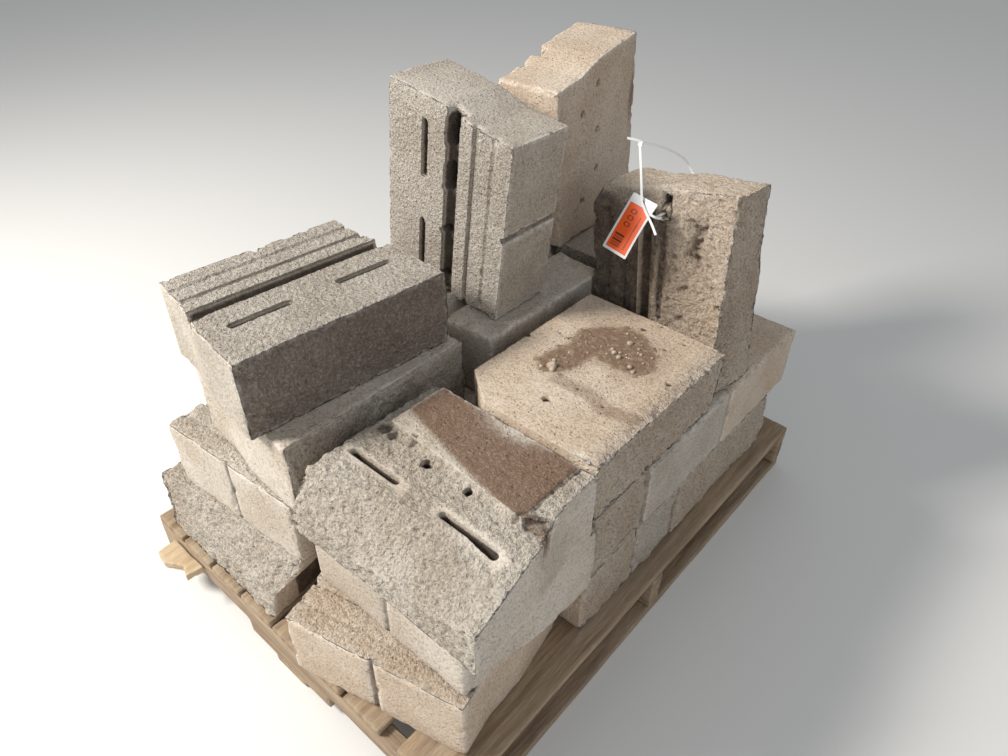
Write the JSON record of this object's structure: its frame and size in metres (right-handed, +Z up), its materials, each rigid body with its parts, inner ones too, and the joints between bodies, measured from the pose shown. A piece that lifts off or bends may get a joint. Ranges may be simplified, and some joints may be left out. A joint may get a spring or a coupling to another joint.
{
  "type": "pallet of concrete blocks",
  "caption": "Wooden pallet stacked with split-face concrete retaining wall blocks, some broken or stood on their sides, with a hanging tag.",
  "frame": {"origin": "centre of the pallet's underside", "axes": "+Z up, +Y along the deck boards away from the front of the load, +X to the side with most split faces"},
  "size_m": [0.916, 1.271, 0.9972],
  "materials": {
    "concrete": "rough weathered concrete",
    "pallet_wood": "weathered sawn wood",
    "fresh_wood": "pale splintered wood",
    "tag": "printed plastic tag",
    "tie": "white nylon cable tie"
  },
  "bodies": {
    "root": {"broken_board": "fresh_wood", "deck_board_1": "pallet_wood", "deck_board_2": "pallet_wood", "deck_board_3": "pallet_wood", "deck_board_4": "pallet_wood", "deck_board_5": "pallet_wood", "deck_board_6": "pallet_wood", "deck_board_7": "pallet_wood", "deck_board_8": "pallet_wood", "front_stringer": "pallet_wood", "front_tie": "tie", "layer_1_cut_piece_middle": "concrete", "layer_1_cut_piece_right": "concrete", "layer_1_front_left": "concrete", "layer_1_front_right": "concrete", "layer_1_middle_left": "concrete", "layer_1_rear_left": "concrete", "layer_1_rear_middle": "concrete", "layer_1_rear_right": "concrete", "layer_1_short_piece_middle": "concrete", "layer_1_short_piece_right": "concrete", "layer_2_front_left": "concrete", "layer_2_front_right": "concrete", "layer_2_middle_left": "concrete", "layer_2_middle_right": "concrete", "layer_2_rear_left": "concrete", "layer_2_rear_right": "concrete", "layer_2_short_piece_middle": "concrete", "layer_2_short_piece_right": "concrete", "layer_3_dirty_block": "concrete", "layer_3_front_block": "concrete", "layer_3_left_front": "concrete", "layer_3_left_middle": "concrete", "layer_3_left_rear": "concrete", "left_bottom_board": "pallet_wood", "middle_bottom_board": "pallet_wood", "middle_stringer": "pallet_wood", "rear_stringer": "pallet_wood", "rear_tie": "tie", "right_bottom_board": "pallet_wood", "short_tie": "tie", "tag": "tag", "tagged_block": "concrete", "tie_head": "tie", "top_drilled_block": "concrete", "top_lying_block": "concrete", "top_standing_block": "concrete"}
  },
  "joints": []
}
